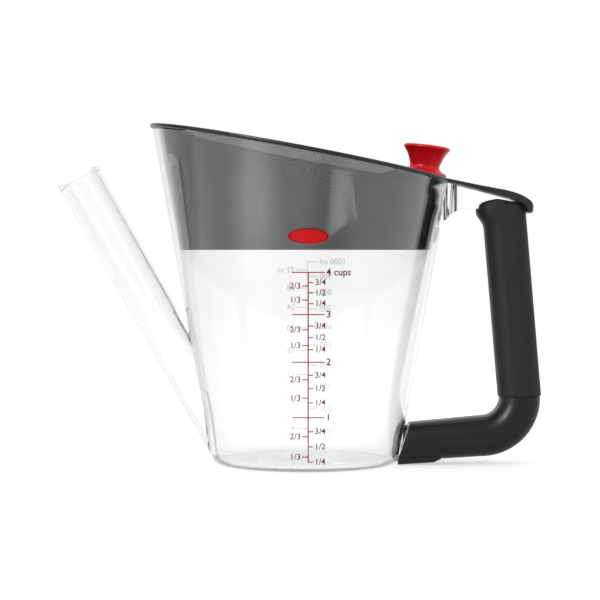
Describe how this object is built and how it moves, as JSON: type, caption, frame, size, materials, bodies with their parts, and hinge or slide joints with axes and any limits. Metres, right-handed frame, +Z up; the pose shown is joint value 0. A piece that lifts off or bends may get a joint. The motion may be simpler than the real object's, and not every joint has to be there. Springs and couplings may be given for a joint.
{
  "type": "gravy fat separator",
  "caption": "Clear cone-shaped jug with a long low spout, a lift-out strainer with a slanting rim, a parked stopper and a black side handle.",
  "frame": {"origin": "centre of the jug's flat base, on the surface that it stands on", "axes": "+Z up along the jug's axis, +X from the spout to the handle, -Y out of the printed cup scale"},
  "size_m": [0.2453, 0.1526, 0.1726],
  "materials": {
    "clear_plastic": "clear, polished",
    "smoke_plastic": "smoke grey, polished",
    "black_rim": "black, satin",
    "red_silicone": "red silicone, satin",
    "hard_black": "black, fine satin",
    "soft_black": "black, matte soft touch",
    "badge_red": "red print",
    "scale_red": "red print",
    "scale_grey": "print seen from behind, pale"
  },
  "bodies": {
    "jug": {"jug_body": "clear_plastic", "pour_spout": "clear_plastic", "handle_frame": "hard_black", "handle_grip": "soft_black", "badge_oval": "badge_red", "cup_scale": "scale_red", "litre_scale": "scale_grey"},
    "strainer": {"strainer_skirt": "smoke_plastic", "strainer_floor": "smoke_plastic", "strainer_deck": "smoke_plastic", "strainer_rim": "black_rim"},
    "stopper": {"stopper": "red_silicone"}
  },
  "joints": [
    {"name": "strainer_lift", "type": "slide", "parent": "jug", "child": "strainer", "axis": [0, 0, 1], "range_m": [0, 0.07]},
    {"name": "stopper_lift", "type": "slide", "parent": "strainer", "child": "stopper", "axis": [0.1219, 0, 0.9925], "range_m": [0, 0.03]}
  ]
}
